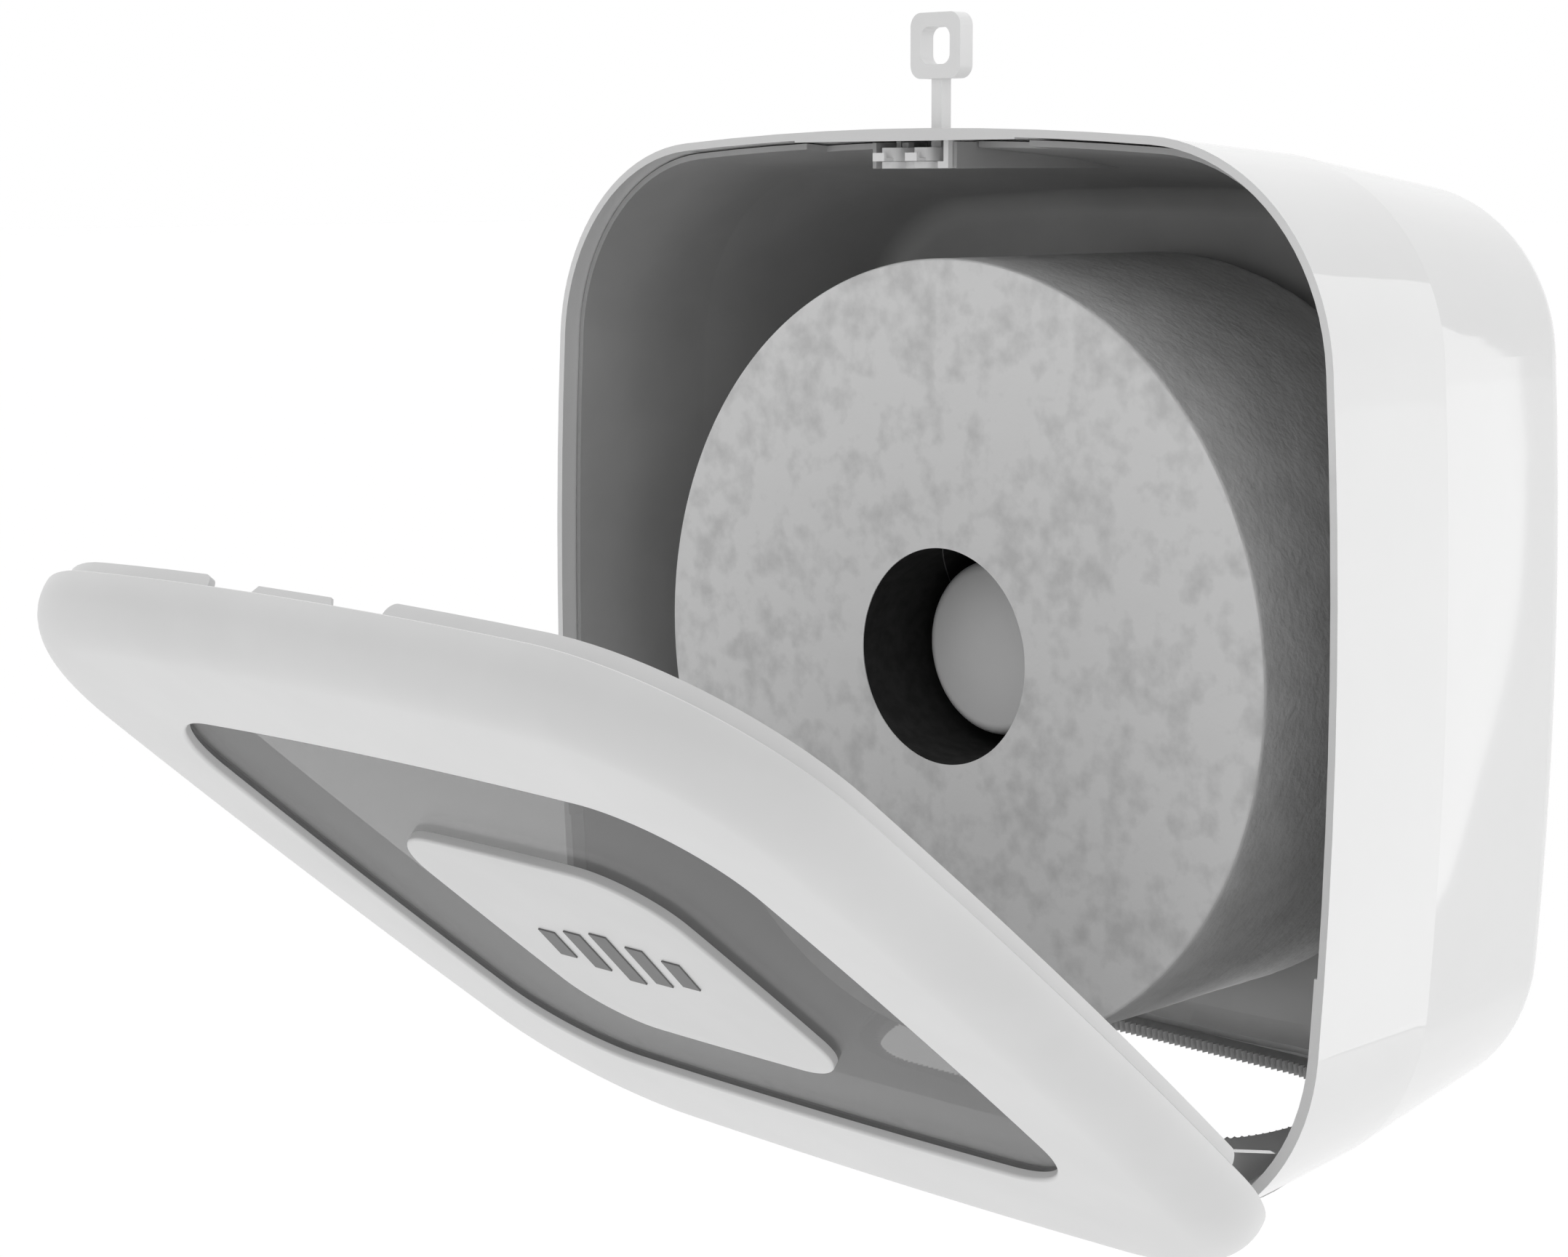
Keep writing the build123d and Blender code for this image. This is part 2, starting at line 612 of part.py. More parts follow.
# ---- lock
def make_lock_bracket():
    """Tray under the top wall: two round lobes in front carry the tongues."""
    low = PLATE_TOP - LOCK_PLATE_T
    body = block(-LEG_X, LEG_X, TONGUE_Y + 1.5, LOCK_BACK, low, PLATE_TOP)
    for x in TONGUE_X:
        body += rod_z(low, PLATE_TOP, x, TONGUE_Y, TONGUE_HALF)
        body += block(x - TONGUE_HALF, x + TONGUE_HALF, TONGUE_Y, LOCK_BACK, low, PLATE_TOP)
    front = RIM + LOCK_FRONT
    body += block(LEG_X - LOCK_LEG_T, LEG_X, front, LOCK_BACK, low, LOCK_SEAT_Z)
    body += block(LEG_X - 3.5, LEG_X, front, TONGUE_Y + 2, low, PLATE_TOP)
    body += block(-LEG_X, -LEG_X + LOCK_LEG_T, TONGUE_Y + 6, LOCK_BACK, low, LOCK_SEAT_Z)
    body += block(-LEG_X, LEG_X, LOCK_BACK - LOCK_LEG_T, LOCK_BACK, low, LOCK_SEAT_Z)
    return body


def make_latch():
    """Two round-nosed tongues on one cross-bar; the key stands on the bar and holds them down."""
    top = LATCH_Z + TONGUE_H
    bar_back = LOCK_BACK - LOCK_LEG_T - 0.4
    tongue_end = RIM + LOCK_FRONT + TONGUE_LENGTH
    body = block(TONGUE_X[0] - 2, TONGUE_X[1] + 5, tongue_end - 0.5, bar_back, LATCH_Z, top - 0.6)
    for x in TONGUE_X:
        body += rod_z(LATCH_Z, top, x, TONGUE_Y, TONGUE_HALF)
        body += block(x - TONGUE_HALF, x + TONGUE_HALF, TONGUE_Y, tongue_end, LATCH_Z, top)
        h = POST_SIDE / 2
        body += block(x - h, x + h, POST_Y - h, POST_Y + h, top - 1, LOCK_SEAT_Z - 0.3)
        tooth = RIM + TOE_FRONT
        body += block(x - TOE_HALF, x + TOE_HALF, tooth, TONGUE_Y, LATCH_Z, LATCH_Z + TOE_T)
        body += block(x - TOE_HALF, x + TOE_HALF, tooth, tooth + TOOTH_BAR, LATCH_Z, LATCH_Z + TOOTH_TOP)
    for x in TONGUE_X:
        body -= rod_z(LATCH_Z - 1, LATCH_Z + POCKET_DEPTH, x, TONGUE_Y + 1.5, POCKET_R)
    return body


def make_springs():
    """Two short coil springs in the tongues' pockets."""
    rise = POCKET_DEPTH + LATCH_FLOAT - 2 * SPRING_WIRE_R
    path = Helix(pitch=rise / SPRING_TURNS, height=rise, radius=SPRING_R)
    tangent = path % 0
    section = Plane(origin=path @ 0, z_dir=tangent) * Circle(SPRING_WIRE_R)
    coil = sweep(section, path=path)
    return [Pos(x, TONGUE_Y + 1.5, PLATE_TOP + SPRING_WIRE_R) * coil for x in TONGUE_X]


def make_key():
    y = RIM + KEY_BACK
    h = KEY_STEM / 2
    foot = LATCH_Z + TONGUE_H - 0.6
    body = block(-h, h, y - h, y + h, foot, KEY_STEM_TOP + 1)
    face = RectangleRounded(KEY_HEAD_W, KEY_HEAD_H, KEY_HEAD_R)
    face -= RectangleRounded(KEY_HOLE_W, KEY_HOLE_H, 2.6)
    head = prism_y(Pos(0, KEY_STEM_TOP + KEY_HEAD_H / 2) * face, y - KEY_HEAD_T / 2, y + KEY_HEAD_T / 2)
    return body + head


nodes = {
    "housing": make_housing(),
    "inner_liner": make_liner(),
    "outlet_ring": make_outlet_ring(),
    "hub_base": make_hub_base(),
    "hub_sleeve": make_hub_sleeve(),
    "hub_nose": make_hub_nose(),
    "hub_screws": Compound(make_hub_screws()),
    "paper_roll": make_roll(),
    "roll_core": make_core(),
    "cover_frame": swing_open(make_cover_frame()),
    "window_pane": swing_open(make_pane()),
    "badge_plate": swing_open(make_plate()),
    "badge_mark": swing_open(Compound(make_mark())),
    "pane_retainer": swing_open(make_retainer()),
    "hinge_arm_left": swing_open(make_hinge_arm(-1)),
    "hinge_arm_right": swing_open(make_hinge_arm(1)),
    "hinge_arm_screws": swing_open(Compound(make_arm_screws())),
    "hinge_pin_left": make_hinge_pin(-1),
    "hinge_pin_right": make_hinge_pin(1),
    "lock_bracket": make_lock_bracket(),
    "latch_tongues": make_latch(),
    "latch_springs": Compound(make_springs()),
    "key": make_key(),
}
for name, shape in nodes.items():
    export_step(shape, f"parts/{name}.step")
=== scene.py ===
import math
import bmesh
import bpy
from mathutils import Matrix, Vector, noise


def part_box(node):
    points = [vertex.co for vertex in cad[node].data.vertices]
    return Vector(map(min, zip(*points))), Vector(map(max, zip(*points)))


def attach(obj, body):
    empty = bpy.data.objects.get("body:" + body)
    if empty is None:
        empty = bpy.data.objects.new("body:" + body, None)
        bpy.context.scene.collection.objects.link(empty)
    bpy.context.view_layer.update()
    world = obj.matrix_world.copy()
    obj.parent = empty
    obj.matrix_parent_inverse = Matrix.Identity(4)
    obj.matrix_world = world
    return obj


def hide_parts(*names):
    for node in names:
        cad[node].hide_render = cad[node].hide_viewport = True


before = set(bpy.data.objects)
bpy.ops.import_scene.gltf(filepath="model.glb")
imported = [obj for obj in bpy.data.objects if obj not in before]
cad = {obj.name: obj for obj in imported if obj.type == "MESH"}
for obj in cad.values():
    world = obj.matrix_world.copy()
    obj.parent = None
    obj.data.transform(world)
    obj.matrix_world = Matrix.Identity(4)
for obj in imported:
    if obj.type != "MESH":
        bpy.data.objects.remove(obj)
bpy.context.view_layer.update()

# ---------------------------------------------------------------- housing
# The shell that is screwed to the wall: one injection moulding in white gloss plastic, 2 mm thick.
# Its four sides bow out a little and draw in towards the wall, more so behind a line 50 mm from the rim.
WIDTH = 0.270
DEPTH = 0.120
CORNER = 0.057
BOW = 1.100
RIM_Y = -DEPTH


def square_loop(half_w, half_h, corner, bow, inset=0.0, rise=0.0):
    """Bowed square with round corners, seen from the front, as (x, z) pairs. inset is a true offset."""
    side_steps, corner_steps = 20, 22
    reach = bow - corner
    cx = half_w - corner
    cz = half_h - corner
    for _ in range(40):
        cx = half_w - bow + math.sqrt(reach ** 2 - cz ** 2)
        cz = half_h - bow + math.sqrt(reach ** 2 - cx ** 2)
    a = math.asin(cz / reach)
    b = math.pi / 2 - math.asin(cx / reach)
    quarter = []
    for i in range(side_steps):
        t = a * i / side_steps
        quarter.append((half_w - bow + (bow - inset) * math.cos(t), (bow - inset) * math.sin(t)))
    for i in range(corner_steps):
        t = a + (b - a) * i / corner_steps
        quarter.append((cx + (corner - inset) * math.cos(t), cz + (corner - inset) * math.sin(t)))
    for i in range(side_steps):
        t = b + (math.pi / 2 - b) * i / side_steps
        quarter.append(((bow - inset) * math.cos(t), half_h - bow + (bow - inset) * math.sin(t)))
    loop = list(quarter)
    top = half_h - inset
    side = half_w - inset
    loop += [(0.0, top)] + [(-x, z) for x, z in reversed(quarter[1:])]
    loop += [(-side, 0.0)] + [(-x, -z) for x, z in quarter[1:]]
    loop += [(0.0, -top)] + [(x, -z) for x, z in reversed(quarter[1:])]
    return [(x, z + rise) for x, z in loop]


def new_piece(name, bm):
    mesh = bpy.data.meshes.new(name)
    bm.to_mesh(mesh)
    bm.free()
    piece = bpy.data.objects.new(name, mesh)
    bpy.context.scene.collection.objects.link(piece)
    return piece


def stack_loops(name, loops, close=False):
    """Skin over a row of loops with the same count of 3-D points: a ring if close, else with flat ends."""
    bm = bmesh.new()
    rows = [[bm.verts.new(p) for p in loop] for loop in loops]
    pairs = list(zip(rows, rows[1:]))
    if close:
        pairs.append((rows[-1], rows[0]))
    for low, high in pairs:
        for i in range(len(low)):
            j = (i + 1) % len(low)
            bm.faces.new((low[i], low[j], high[j], high[i]))
    if not close:
        bm.faces.new(list(reversed(rows[0])))
        bm.faces.new(rows[-1])
    bmesh.ops.recalc_face_normals(bm, faces=bm.faces)
    return new_piece(name, bm)


def smooth(piece, degrees=35):
    for face in piece.data.polygons:
        face.use_smooth = True
    piece.data.set_sharp_from_angle(angle=math.radians(degrees))


def new_material(name):
    mat = bpy.data.materials.new(name)
    mat.use_nodes = True
    return mat, mat.node_tree, mat.node_tree.nodes["Principled BSDF"]


def grain(tree, shader, size, depth, detail=2.0, strength=1.0):
    """Bumps of the given size and depth in metres. Gives back the coordinates, for other textures."""
    coords = tree.nodes.new("ShaderNodeTexCoord")
    speck = tree.nodes.new("ShaderNodeTexNoise")
    speck.inputs["Scale"].default_value = 1.0 / size
    speck.inputs["Detail"].default_value = detail
    bump = tree.nodes.new("ShaderNodeBump")
    bump.inputs["Strength"].default_value = strength
    bump.inputs["Distance"].default_value = depth
    tree.links.new(coords.outputs["Object"], speck.inputs["Vector"])
    tree.links.new(speck.outputs["Fac"], bump.inputs["Height"])
    tree.links.new(bump.outputs["Normal"], shader.inputs["Normal"])
    return coords


def shade_between(tree, shader, coords, size, dark, light):
    """Lets the colour drift between two greys over patches of the given size."""
    patch = tree.nodes.new("ShaderNodeTexNoise")
    patch.inputs["Scale"].default_value = 1.0 / size
    patch.inputs["Detail"].default_value = 3.0
    ramp = tree.nodes.new("ShaderNodeValToRGB")
    ramp.color_ramp.elements[0].position = 0.35
    ramp.color_ramp.elements[0].color = (*dark, 1.0)
    ramp.color_ramp.elements[1].position = 0.65
    ramp.color_ramp.elements[1].color = (*light, 1.0)
    tree.links.new(coords.outputs["Object"], patch.inputs["Vector"])
    tree.links.new(patch.outputs["Fac"], ramp.inputs["Fac"])
    tree.links.new(ramp.outputs["Color"], shader.inputs["Base Color"])


def moulded(name, dark, light, roughness, grain_size=0.0006, grain_depth=0.000006, coat=0.0, coat_rough=0.12):
    """Plastic with a fine grain whose grey drifts a little, with a gloss coat where coat is set."""
    mat, tree, shader = new_material(name)
    coords = grain(tree, shader, grain_size, grain_depth)
    shade_between(tree, shader, coords, 0.03, dark, light)
    shader.inputs["Roughness"].default_value = roughness
    shader.inputs["Coat Weight"].default_value = coat
    shader.inputs["Coat Roughness"].default_value = coat_rough
    return mat


def finish(node, mat):
    mesh = node.data
    mesh.materials.clear()
    mesh.materials.append(mat)


shell_white = moulded(
    "shell_white",
    (0.68, 0.68, 0.68),
    (0.69, 0.69, 0.69),
    0.5,
    grain_size=0.0008,
    grain_depth=0.000001,
    coat=1.0,
    coat_rough=0.03,
)
finish(cad["housing"], shell_white)

# ---------------------------------------------------------------- liner
# A separate tray inside the shell, 1.5 mm thick, held by the hub's screws; its dark grey is painted shade for
# the shaded inside of the white housing.
# It ends 5 mm behind the rim, and its front edge catches the light as a thin line.
# Dark grey painted shade for the inside of the housing.
liner_painted_shade = moulded("liner_painted_shade", (0.37, 0.37, 0.37), (0.41, 0.41, 0.41), 0.42)
finish(cad["inner_liner"], liner_painted_shade)

# ---------------------------------------------------------------- paper outlet
# A ring in the sloping floor with a saw round its inner edge, to tear the paper on; its dark grey is painted
# shade for the deep shade on the housing's floor.
# Dark grey painted shade for the floor of the housing.
saw_painted_shade = moulded("saw_painted_shade", (0.26, 0.26, 0.26), (0.29, 0.29, 0.29), 0.45)
finish(cad["outlet_ring"], saw_painted_shade)

# ---------------------------------------------------------------- hub
# Stepped plastic spindle that the roll's core turns on: a base with a flange, a sleeve and a nose.
# Three screws go through its foot and the liner into the back of the shell.
ROLL_Z = -0.001
hub_grey = moulded("hub_grey", (0.60, 0.60, 0.60), (0.64, 0.64, 0.64), 0.5)
hub_white = moulded("hub_white", (0.88, 0.88, 0.88), (0.90, 0.90, 0.90), 0.45)
hub_dark = moulded("hub_dark", (0.02, 0.02, 0.02), (0.03, 0.03, 0.03), 0.6)
steel, steel_tree, steel_shader = new_material("zinc_steel")
steel_coords = grain(steel_tree, steel_shader, 0.0003, 0.000003)
shade_between(steel_tree, steel_shader, steel_coords, 0.002, (0.45, 0.45, 0.46), (0.62, 0.62, 0.63))
steel_shader.inputs["Metallic"].default_value = 1.0
steel_shader.inputs["Roughness"].default_value = 0.32
finish(cad["hub_base"], hub_grey)
finish(cad["hub_sleeve"], hub_dark)
finish(cad["hub_nose"], hub_white)
finish(cad["hub_screws"], steel)

# ---------------------------------------------------------------- tissue roll
# 207 mm of wound two-ply tissue, soft and slightly uneven. The crepe makes fine wrinkles on the outside,
# and the cut ends of the layers show soft grey blotches.
ROLL_R = 0.1033
CORE_R = 0.0298
ROLL_EDGE = 0.0012
ROLL_FACE_IN = CORE_R - 0.0013
ROLL_Y0, ROLL_Y1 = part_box("paper_roll")[0][1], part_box("paper_roll")[1][1]


def roll_point(radius, y, angle):
    return Vector((radius * math.sin(angle), y, ROLL_Z + radius * math.cos(angle)))


def wound_roll():
    around = 480
    shoulder = ROLL_R - ROLL_EDGE
    profile = [(ROLL_FACE_IN, ROLL_Y0 + 0.0004, False)]
    for i in range(31):
        profile.append((ROLL_FACE_IN + (shoulder - ROLL_FACE_IN) * i / 30, ROLL_Y0, False))
    for i in range(1, 5):
        t = math.pi / 2 * i / 4
        profile.append((shoulder + ROLL_EDGE * math.sin(t), ROLL_Y0 + ROLL_EDGE * (1 - math.cos(t)), False))
    for i in range(1, 61):
        profile.append((ROLL_R, ROLL_Y0 + ROLL_EDGE + (ROLL_Y1 - ROLL_Y0 - 2 * ROLL_EDGE) * i / 60, True))
    profile.append((shoulder, ROLL_Y1, False))
    profile.append((CORE_R, ROLL_Y1, False))
    profile.append((CORE_R, ROLL_Y0 + 0.0004, False))
    loops = []
    for radius, y, crepe in profile:
        loop = []
        for k in range(around):
            angle = 2 * math.pi * k / around
            spot = roll_point(radius, y, angle)
            r = radius
            if crepe:
                fine = noise.noise(Vector((angle * 42.0, y * 160.0, 3.0)))
                broad = noise.noise(Vector((angle * 9.0, y * 30.0, 7.0)))
                r -= 0.00022 * abs(fine) + 0.0004 * max(0.0, broad)
            dip = 0.0
            if not crepe and y == ROLL_Y0:
                dip = 0.00012 * (1 + noise.noise(spot * 140.0))
            loop.append(roll_point(r, y + dip, angle))
        loops.append(loop)
    return stack_loops("tissue_roll", loops, close=True)


def tissue_paper(name, wrinkle, depth):
    mat, tree, shader = new_material(name)
    coords = grain(tree, shader, wrinkle, depth, detail=4.0, strength=0.8)
    shader.inputs["Roughness"].default_value = 0.95
    shader.inputs["Specular IOR Level"].default_value = 0.1
    return mat, tree, shader, coords


cut_ends, ends_tree, ends_shader, ends_coords = tissue_paper("tissue_cut_ends", 0.0012, 0.00006)
blotch = ends_tree.nodes.new("ShaderNodeTexNoise")
blotch.inputs["Scale"].default_value = 150.0
blotch.inputs["Detail"].default_value = 3.5
blotch.inputs["Roughness"].default_value = 0.5
cluster = ends_tree.nodes.new("ShaderNodeTexNoise")
cluster.inputs["Scale"].default_value = 38.0
cluster.inputs["Detail"].default_value = 1.0
gather = ends_tree.nodes.new("ShaderNodeMath")
gather.operation = "MULTIPLY_ADD"
gather.inputs[1].default_value = 0.5
shade = ends_tree.nodes.new("ShaderNodeValToRGB")
shade.color_ramp.elements[0].position = 0.70
shade.color_ramp.elements[0].color = (0.77, 0.77, 0.77, 1.0)
shade.color_ramp.elements[1].position = 0.98
shade.color_ramp.elements[1].color = (0.62, 0.62, 0.62, 1.0)
ends_tree.links.new(ends_coords.outputs["Object"], blotch.inputs["Vector"])
ends_tree.links.new(ends_coords.outputs["Object"], cluster.inputs["Vector"])
ends_tree.links.new(cluster.outputs["Fac"], gather.inputs[0])
ends_tree.links.new(blotch.outputs["Fac"], gather.inputs[2])
ends_tree.links.new(gather.outputs["Value"], shade.inputs["Fac"])
ends_tree.links.new(shade.outputs["Color"], ends_shader.inputs["Base Color"])

# The outside of the roll gets a darker grey than its cut ends: painted shade for the shade inside the
# housing.
wrap_painted_shade, wrap_tree, wrap_shader, wrap_coords = tissue_paper("tissue_wrap_painted_shade", 0.0022, 0.0005)
shade_between(wrap_tree, wrap_shader, wrap_coords, 0.012, (0.58, 0.58, 0.58), (0.66, 0.66, 0.66))

tissue_roll = wound_roll()
smooth(tissue_roll, 60)
tissue_roll.data.materials.append(cut_ends)
tissue_roll.data.materials.append(wrap_painted_shade)
# Faces that look along the roll's axis get the cut ends; the rest get the darker painted shade of the
# outside.
for face in tissue_roll.data.polygons:
    face.material_index = 0 if abs(face.normal.y) > 0.7 else 1
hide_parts("paper_roll")
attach(tissue_roll, "roll")

# ---------------------------------------------------------------- roll core
# Tube of board that the tissue is wound on, coloured near black as painted shade for the shaded inside of the
# core.
# Strips of board wound at a slant make it, so one pale seam runs round its inside as a helix.
BORE_R = 0.0283
SEAM_START = 0.04
SEAM_HALF = 0.00022
SEAM_LIFT = 0.00002
SEAM_RIDGE = 0.00003


def board_tube():
    loops = []
    for radius, y in (
        (CORE_R - 0.00005, ROLL_Y0 + 0.0006),
        (CORE_R - 0.00005, ROLL_Y1),
        (BORE_R + 0.0003, ROLL_Y1),
        (BORE_R, ROLL_Y1 - 0.0003),
        (BORE_R, ROLL_Y0 + 0.0008),
        (BORE_R + 0.0002, ROLL_Y0 + 0.0006),
    ):
        loops.append([roll_point(radius, y, 2 * math.pi * k / 160) for k in range(160)])
    return stack_loops("board_tube", loops, close=True)


def board_seam():
    bm = bmesh.new()
    rows = []
    steps = 120
    length = ROLL_Y1 - ROLL_Y0 - 0.002
    for i in range(steps + 1):
        y = ROLL_Y0 + 0.001 + length * i / steps
        angle = SEAM_START - (y - ROLL_Y0) / BORE_R
        row = []
        for across, ridge in ((-SEAM_HALF, 0.0), (0.0, SEAM_RIDGE), (SEAM_HALF, 0.0)):
            row.append(bm.verts.new(roll_point(BORE_R - SEAM_LIFT - ridge, y, angle + across / BORE_R)))
        rows.append(row)
    for low, high in zip(rows, rows[1:]):
        for k in (0, 1):
            bm.faces.new((low[k], low[k + 1], high[k + 1], high[k]))
    return new_piece("board_seam", bm)


# Near-black painted shade for the inside of the core.
core_board, core_tree, core_shader = new_material("core_board")
core_coords = grain(core_tree, core_shader, 0.0008, 0.00004)
shade_between(core_tree, core_shader, core_coords, 0.004, (0.018, 0.018, 0.018), (0.026, 0.026, 0.026))
core_shader.inputs["Roughness"].default_value = 0.9
core_shader.inputs["Specular IOR Level"].default_value = 0.15
seam_grey = moulded("seam_grey", (0.16, 0.16, 0.16), (0.22, 0.22, 0.22), 0.8)
tube = board_tube()
seam = board_seam()
for part, paint in ((tube, core_board), (seam, seam_grey)):
    smooth(part, 50)
    part.data.materials.append(paint)
    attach(part, "roll")
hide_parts("roll_core")

# ---------------------------------------------------------------- cover frame
# The lid's outer moulding: white gloss plastic, flat in front with a 13 mm round to its sides.
# It is drawn shut and then swung open about the hinge, as it hangs at rest.
HINGE = Vector((0.0, RIM_Y + 0.0083, -0.1185))
OPEN = math.radians(50.57)
COVER_BACK = RIM_Y - 0.0003
COVER_FRONT = COVER_BACK - 0.0141
SKIN = 0.0025
EDGE_WIDE, EDGE_DEEP = 0.0145, 0.0132
WINDOW_EDGE = 0.0010
INNER_R = 0.009
WINDOW = (0.0970, 0.0890, 0.0315, BOW)
WINDOW_RISE = 0.0026


def swing(piece):
    turn = Matrix.Translation(HINGE) @ Matrix.Rotation(OPEN, 4, "X") @ Matrix.Translation(-HINGE)
    piece.data.transform(turn)


def rim_loop(inset, y):
    return [(x, y, z) for x, z in square_loop(WIDTH / 2, WIDTH / 2, CORNER, BOW, inset)]


def window_loop(grow, y):
    return [(x, y, z) for x, z in square_loop(*WINDOW, -grow, WINDOW_RISE)]


def cover_moulding():
    loops = [rim_loop(0.0003, COVER_BACK), rim_loop(0.0, COVER_BACK - 0.0003)]
    for i in range(17):
        t = math.pi / 2 * i / 16
        loops.append(rim_loop(EDGE_WIDE * (1 - math.cos(t)), COVER_FRONT + EDGE_DEEP * (1 - math.sin(t))))
    for i in range(6):
        t = math.pi / 2 * i / 5
        front = COVER_FRONT + WINDOW_EDGE * (1 - math.cos(t))
        loops.append(window_loop(WINDOW_EDGE * (1 - math.sin(t)), front))
    loops.append(window_loop(0.0, COVER_FRONT + SKIN))
    for i in range(9):
        t = math.pi / 2 * i / 8
        inset = SKIN + INNER_R * (1 - math.sin(t))
        loops.append(rim_loop(inset, COVER_FRONT + SKIN + INNER_R * (1 - math.cos(t))))
    loops.append(rim_loop(SKIN, COVER_BACK))
    return stack_loops("cover_moulding", loops, close=True)


cover_white = moulded("cover_white", (0.64, 0.64, 0.64), (0.66, 0.66, 0.66), 0.36)
cover_moulding_piece = cover_moulding()
swing(cover_moulding_piece)
smooth(cover_moulding_piece, 40)
cover_moulding_piece.data.materials.append(cover_white)
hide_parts("cover_frame")
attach(cover_moulding_piece, "cover")

# ---------------------------------------------------------------- window
# Smoke-tinted plastic sheet, 2 mm thick, clamped between the cover's frame and its inner ring.
smoke, smoke_tree, smoke_shader = new_material("smoke_sheet")
smoke_coords = grain(smoke_tree, smoke_shader, 0.03, 0.000004, detail=0.0)
shade_between(smoke_tree, smoke_shader, smoke_coords, 0.05, (0.055, 0.055, 0.055), (0.065, 0.065, 0.065))
smoke_shader.inputs["Roughness"].default_value = 0.15
smoke_shader.inputs["Alpha"].default_value = 0.62
smoke_shader.inputs["Specular IOR Level"].default_value = 0.16
finish(cad["window_pane"], smoke)

# ---------------------------------------------------------------- badge plate
# Raised white plate in the middle of the window, level with the frame and glued to the sheet.
PLATE = (0.0462, 0.048, 0.021, BOW)
PLATE_EDGE = 0.0008


def plate_loop(inset, y):
    return [(x, y, z) for x, z in square_loop(*PLATE, inset)]


plate_loops = [plate_loop(0.0, COVER_FRONT + SKIN)]
for i in range(7):
    t = math.pi / 2 * i / 6
    front = COVER_FRONT + PLATE_EDGE * (1 - math.sin(t))
    plate_loops.append(plate_loop(PLATE_EDGE * (1 - math.cos(t)), front))
plate_loops.append(plate_loop(0.006, COVER_FRONT))
badge = stack_loops("badge", plate_loops)
swing(badge)
smooth(badge, 40)
badge_white = moulded("badge_white", (0.59, 0.59, 0.59), (0.61, 0.61, 0.61), 0.4)
badge.data.materials.append(badge_white)
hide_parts("badge_plate")
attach(badge, "cover")

# ---------------------------------------------------------------- ornament
# Five leaning bars, a thin raised layer of dark grey ink printed on the plate.
# They say nothing and stand for no maker.
print_grey = moulded("print_grey", (0.10, 0.10, 0.10), (0.12, 0.12, 0.12), 0.5)
finish(cad["badge_mark"], print_grey)

# ---------------------------------------------------------------- inner ring of the cover
# Screwed and clipped behind the frame, it holds the window, carries the lip that enters the shell,
# and has the lock's tab at its top. The two hinge arms are screwed to it.
finish(cad["pane_retainer"], cover_white)
finish(cad["hinge_arm_left"], cover_white)
finish(cad["hinge_arm_right"], cover_white)
finish(cad["hinge_arm_screws"], steel)
finish(cad["hinge_pin_left"], steel)
finish(cad["hinge_pin_right"], steel)

# ---------------------------------------------------------------- lock
# Tray under the top wall with two sprung tongues. The key stands on them through a hole in the wall.
lock_white = moulded("lock_white", (0.76, 0.76, 0.76), (0.80, 0.80, 0.80), 0.4)
finish(cad["lock_bracket"], lock_white)
finish(cad["latch_tongues"], lock_white)
finish(cad["latch_springs"], steel)
finish(cad["key"], lock_white)

# ---------------------------------------------------------------- floor, light and camera
# A pale floor far below, a white surround that is brightest behind the object, and one tall soft box on the
# right that shows as a pale patch with a straight edge in the gloss of the shell.
FAR = 60.0
LOW = -0.9
floor_mesh = bpy.data.meshes.new("floor")
floor_corners = [(-FAR, -FAR, LOW), (FAR, -FAR, LOW), (FAR, FAR, LOW), (-FAR, FAR, LOW)]
floor_mesh.from_pydata(floor_corners, [], [(0, 1, 2, 3)])
floor = bpy.data.objects.new("floor", floor_mesh)
bpy.context.scene.collection.objects.link(floor)
floor_pale, floor_tree, floor_shader = new_material("floor_pale")
floor_shader.inputs["Base Color"].default_value = (0.95, 0.95, 0.95, 1.0)
floor_shader.inputs["Roughness"].default_value = 0.9
floor_shader.inputs["Emission Color"].default_value = (1.0, 1.0, 1.0, 1.0)
floor_shader.inputs["Emission Strength"].default_value = 0.04
floor_mesh.materials.append(floor_pale)

YAW = 0.7906
PITCH = -0.1467
TILT = -0.0039
CAMERA_PLACE = (0.52816, -0.68458, 0.12245)
view = Vector((-math.sin(YAW) * math.cos(PITCH), math.cos(YAW) * math.cos(PITCH), math.sin(PITCH)))

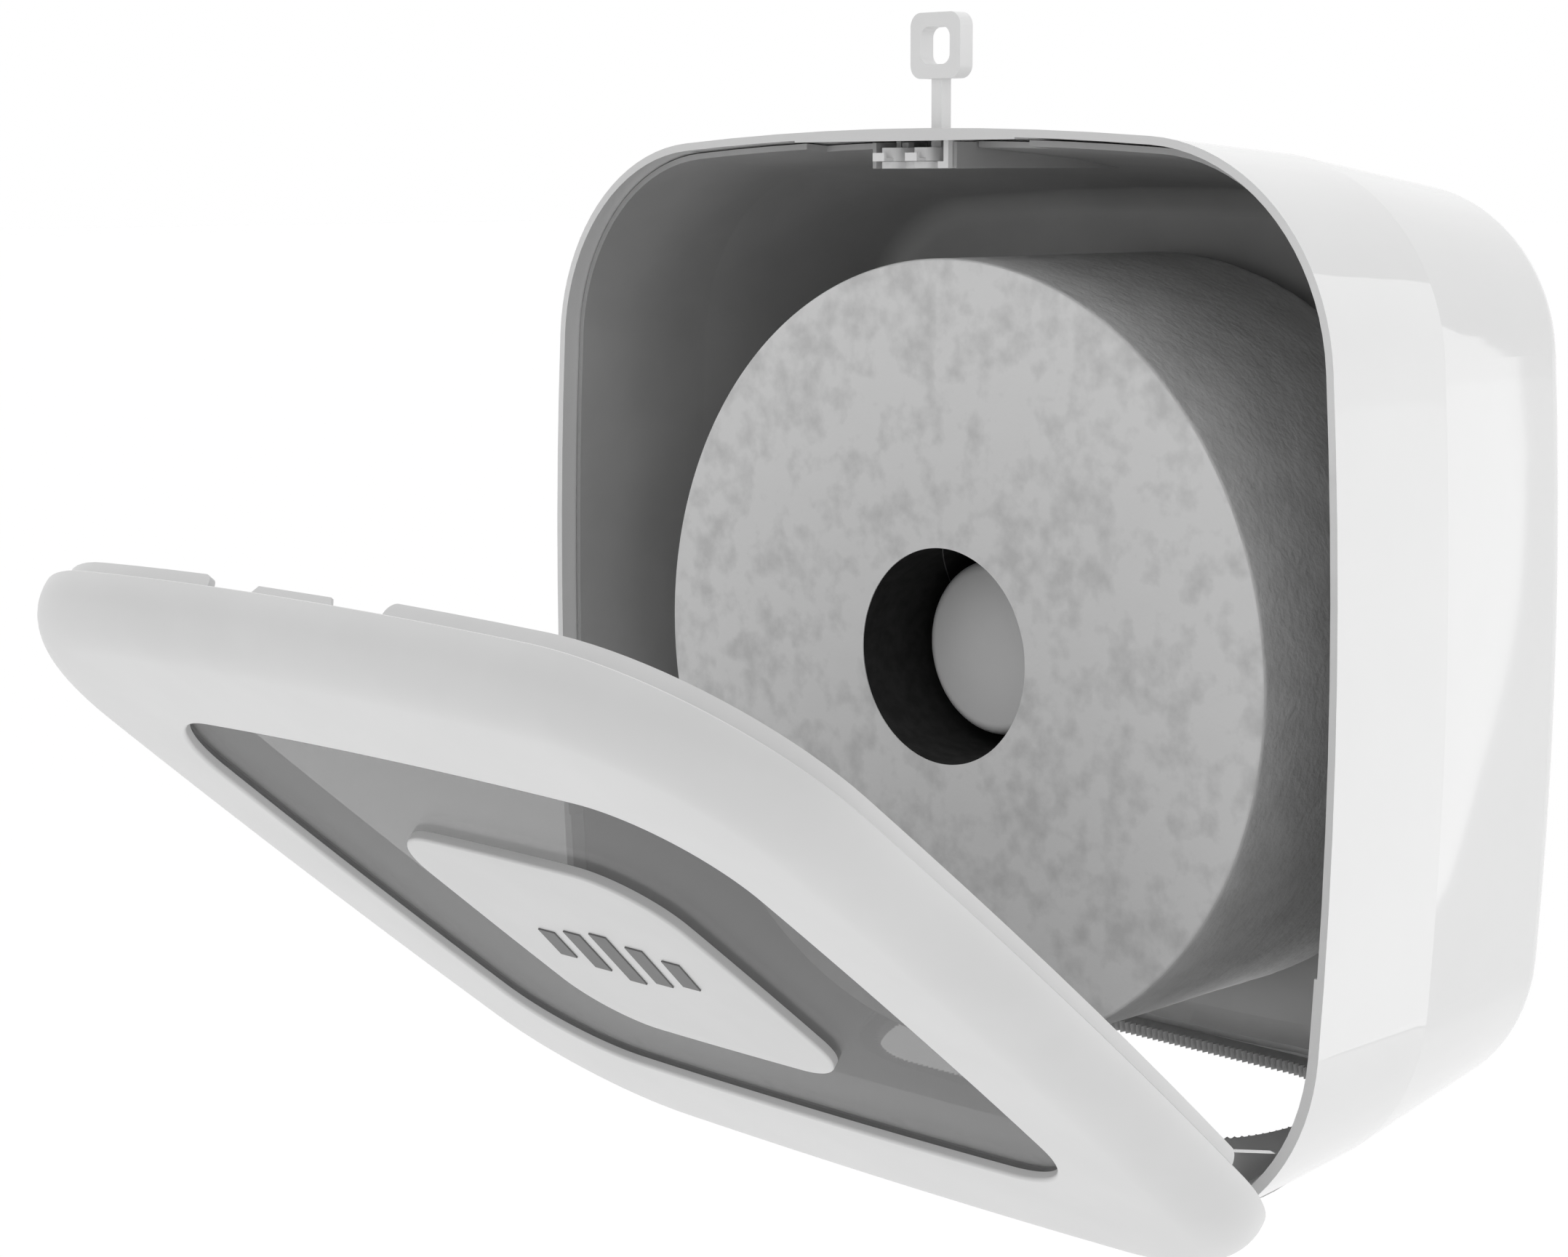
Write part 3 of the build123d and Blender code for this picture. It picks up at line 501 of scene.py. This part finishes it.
world = bpy.data.worlds.new("studio")
world.use_nodes = True
bpy.context.scene.world = world
sky = world.node_tree
surround = sky.nodes["Background"]
aim = sky.nodes.new("ShaderNodeTexCoord")
facing = sky.nodes.new("ShaderNodeVectorMath")
facing.operation = "DOT_PRODUCT"
facing.inputs[1].default_value = view
level = sky.nodes.new("ShaderNodeMapRange")
level.inputs["From Min"].default_value = -0.1
level.inputs["From Max"].default_value = 0.85
level.inputs["To Min"].default_value = 0.58
level.inputs["To Max"].default_value = 1.0
height = sky.nodes.new("ShaderNodeSeparateXYZ")
overhead = sky.nodes.new("ShaderNodeMapRange")
overhead.inputs["From Min"].default_value = 0.15
overhead.inputs["From Max"].default_value = 1.0
overhead.inputs["To Min"].default_value = 0.0
overhead.inputs["To Max"].default_value = 0.55
total = sky.nodes.new("ShaderNodeMath")
total.operation = "ADD"
sky.links.new(aim.outputs["Generated"], facing.inputs[0])
sky.links.new(facing.outputs["Value"], level.inputs["Value"])
sky.links.new(aim.outputs["Generated"], height.inputs["Vector"])
sky.links.new(height.outputs["Z"], overhead.inputs["Value"])
sky.links.new(level.outputs["Result"], total.inputs[0])
sky.links.new(overhead.outputs["Result"], total.inputs[1])
sky.links.new(total.outputs["Value"], surround.inputs["Color"])
surround.inputs["Strength"].default_value = 1.0

lamp_place = Vector((1.169, 1.524, 0.08))
lamp_target = Vector((0.12, -0.06, 0.08))
lamp = bpy.data.lights.new("right_lamp", "AREA")
lamp.shape = "RECTANGLE"
lamp.size = 1.126
lamp.size_y = 1.94
lamp.energy = 6.5
lamp_holder = bpy.data.objects.new("right_lamp", lamp)
lamp_holder.location = lamp_place
lamp_holder.rotation_euler = (lamp_target - lamp_place).to_track_quat("-Z", "Y").to_euler()
bpy.context.scene.collection.objects.link(lamp_holder)

camera = bpy.data.cameras.new("camera")
camera.sensor_width = 36.0
camera.lens = 69.80
camera.clip_start = 0.01
camera_holder = bpy.data.objects.new("camera", camera)
right = Vector((math.cos(YAW), math.sin(YAW), 0))
up = right.cross(view)
right_tilted = right * math.cos(TILT) + up * math.sin(TILT)
up_tilted = -right * math.sin(TILT) + up * math.cos(TILT)
pose = Matrix((right_tilted, up_tilted, -view)).transposed().to_4x4()
camera_holder.matrix_world = Matrix.Translation(CAMERA_PLACE) @ pose
bpy.context.scene.collection.objects.link(camera_holder)
bpy.context.scene.camera = camera_holder
bpy.context.scene.view_settings.view_transform = "Standard"
